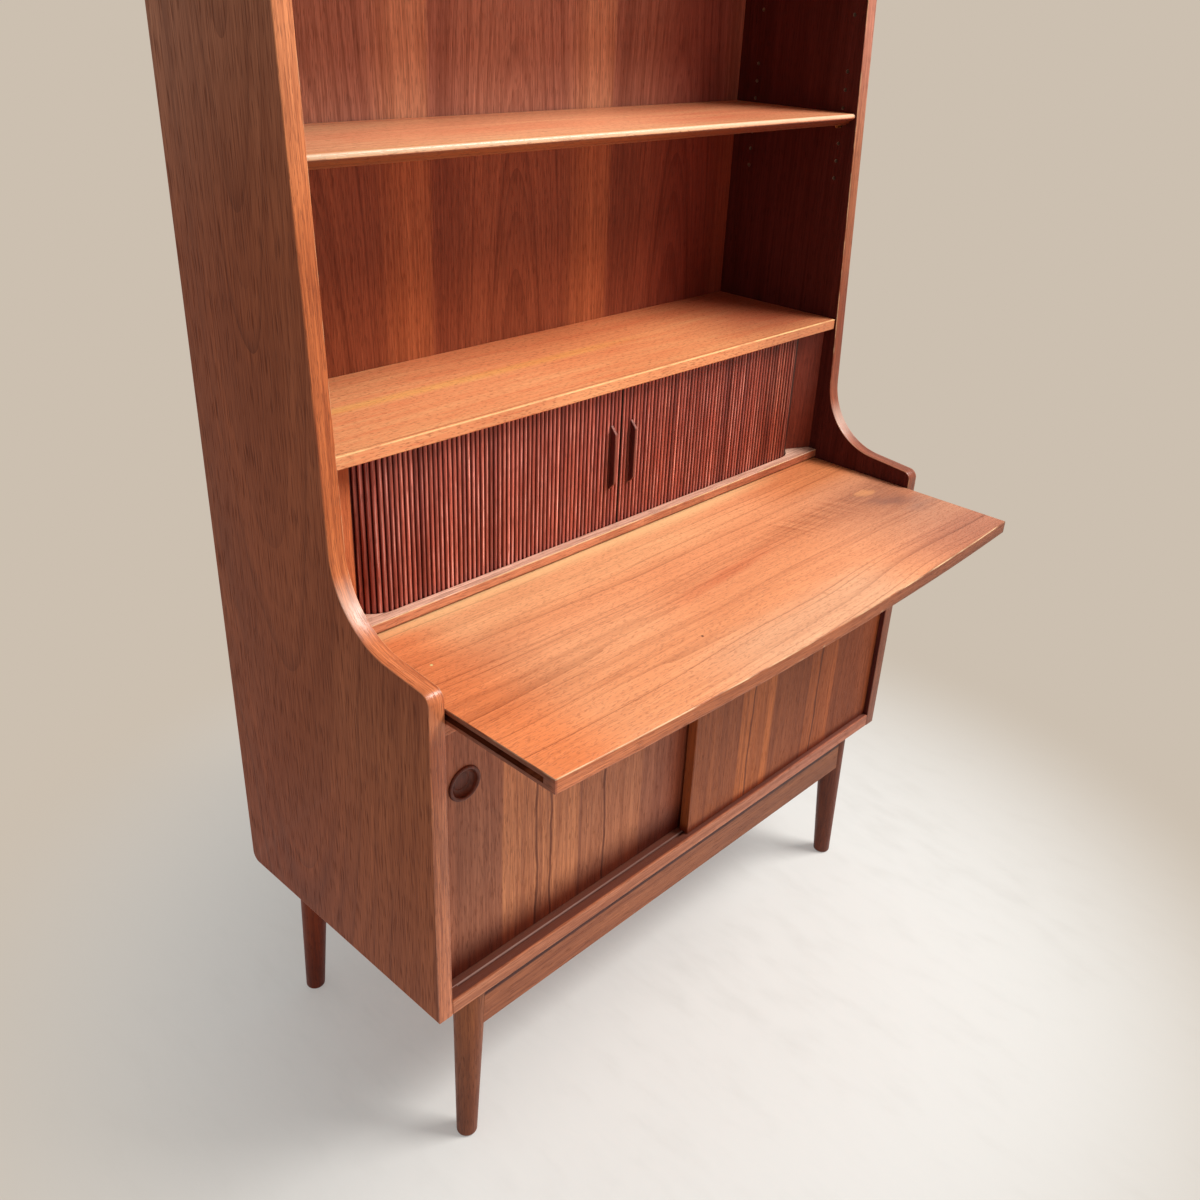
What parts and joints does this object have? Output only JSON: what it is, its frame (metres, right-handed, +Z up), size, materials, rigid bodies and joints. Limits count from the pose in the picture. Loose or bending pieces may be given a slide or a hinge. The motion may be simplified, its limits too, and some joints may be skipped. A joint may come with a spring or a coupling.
{
  "type": "bureau bookcase",
  "caption": "Teak bureau bookcase: leaning shelves over a tambour compartment, a pull-out bow-fronted writing leaf, a sliding-door cabinet and turned tapered legs.",
  "frame": {"origin": "on the floor, under the middle of the overall box with the writing leaf pulled out", "axes": "+Z up, the front faces -Y, +X to the right seen from the front"},
  "size_m": [1, 0.615, 1.75],
  "materials": {
    "teak_side": "oiled teak veneer, brown, vertical grain",
    "teak_panel": "oiled teak veneer with solid lipping",
    "teak_back": "oiled teak veneer in vertical strips",
    "teak_shelf": "oiled teak veneer, orange tan, grain along the shelf",
    "teak_leaf": "oiled teak veneer, sun-mellowed orange, satin",
    "teak_door": "oiled teak veneer, vertical figure",
    "teak_tambour": "solid teak slats on a cloth back",
    "teak_handle": "solid teak, dark, hand worn",
    "teak_base": "solid teak, turned and oiled",
    "turned_dark": "turned dark hardwood, polished rim",
    "plywood": "thin plywood, unstained",
    "brass_pin": "drawn brass"
  },
  "bodies": {
    "carcase": {"left_side": "teak_side", "right_side": "teak_side", "bottom_panel": "teak_panel", "door_head": "teak_panel", "top_panel": "teak_panel", "lower_back": "plywood", "upper_back": "teak_back", "cabinet_shelf": "teak_shelf", "lower_shelf": "teak_shelf", "upper_shelf": "teak_shelf", "cabinet_shelf_pin_left_front": "brass_pin", "cabinet_shelf_pin_left_rear": "brass_pin", "cabinet_shelf_pin_right_front": "brass_pin", "cabinet_shelf_pin_right_rear": "brass_pin", "lower_shelf_pin_left_front": "brass_pin", "lower_shelf_pin_left_rear": "brass_pin", "lower_shelf_pin_right_front": "brass_pin", "lower_shelf_pin_right_rear": "brass_pin", "upper_shelf_pin_left_front": "brass_pin", "upper_shelf_pin_left_rear": "brass_pin", "upper_shelf_pin_right_front": "brass_pin", "upper_shelf_pin_right_rear": "brass_pin", "tambour_floor": "teak_shelf", "fixed_shelf": "teak_shelf", "left_filler": "teak_tambour", "right_filler": "teak_tambour", "left_guard": "plywood", "right_guard": "plywood", "rear_guard": "plywood", "left_curtain": "teak_tambour", "right_curtain": "teak_tambour", "left_leaf_runner": "teak_handle", "right_leaf_runner": "teak_handle", "front_apron": "teak_base", "rear_apron": "teak_base", "left_base_rail": "teak_base", "right_base_rail": "teak_base", "front_left_leg": "teak_base", "front_right_leg": "teak_base", "rear_left_leg": "teak_base", "rear_right_leg": "teak_base"},
    "leaf": {"writing_leaf": "teak_leaf"},
    "left_sliding_door": {"left_door": "teak_door", "left_door_pull": "turned_dark"},
    "right_sliding_door": {"right_door": "teak_door", "right_door_pull": "turned_dark"},
    "left_tambour": {"left_lead_stile": "teak_tambour", "left_lead_batten": "teak_tambour", "left_tambour_handle": "teak_handle"},
    "right_tambour": {"right_lead_stile": "teak_tambour", "right_lead_batten": "teak_tambour", "right_tambour_handle": "teak_handle"}
  },
  "joints": [
    {"name": "leaf_slide", "type": "slide", "parent": "carcase", "child": "leaf", "axis": [0, 1, 0], "range_m": [0, 0.17]},
    {"name": "left_door_slide", "type": "slide", "parent": "carcase", "child": "left_sliding_door", "axis": [1, 0, 0], "range_m": [0, 0.465]},
    {"name": "right_door_slide", "type": "slide", "parent": "carcase", "child": "right_sliding_door", "axis": [-1, 0, 0], "range_m": [0, 0.465]},
    {"name": "left_tambour_slide", "type": "slide", "parent": "carcase", "child": "left_tambour", "axis": [-1, 0, 0], "range_m": [0, 0.368], "deforming": ["left_curtain"]},
    {"name": "right_tambour_slide", "type": "slide", "parent": "carcase", "child": "right_tambour", "axis": [1, 0, 0], "range_m": [0, 0.368], "deforming": ["right_curtain"]}
  ]
}
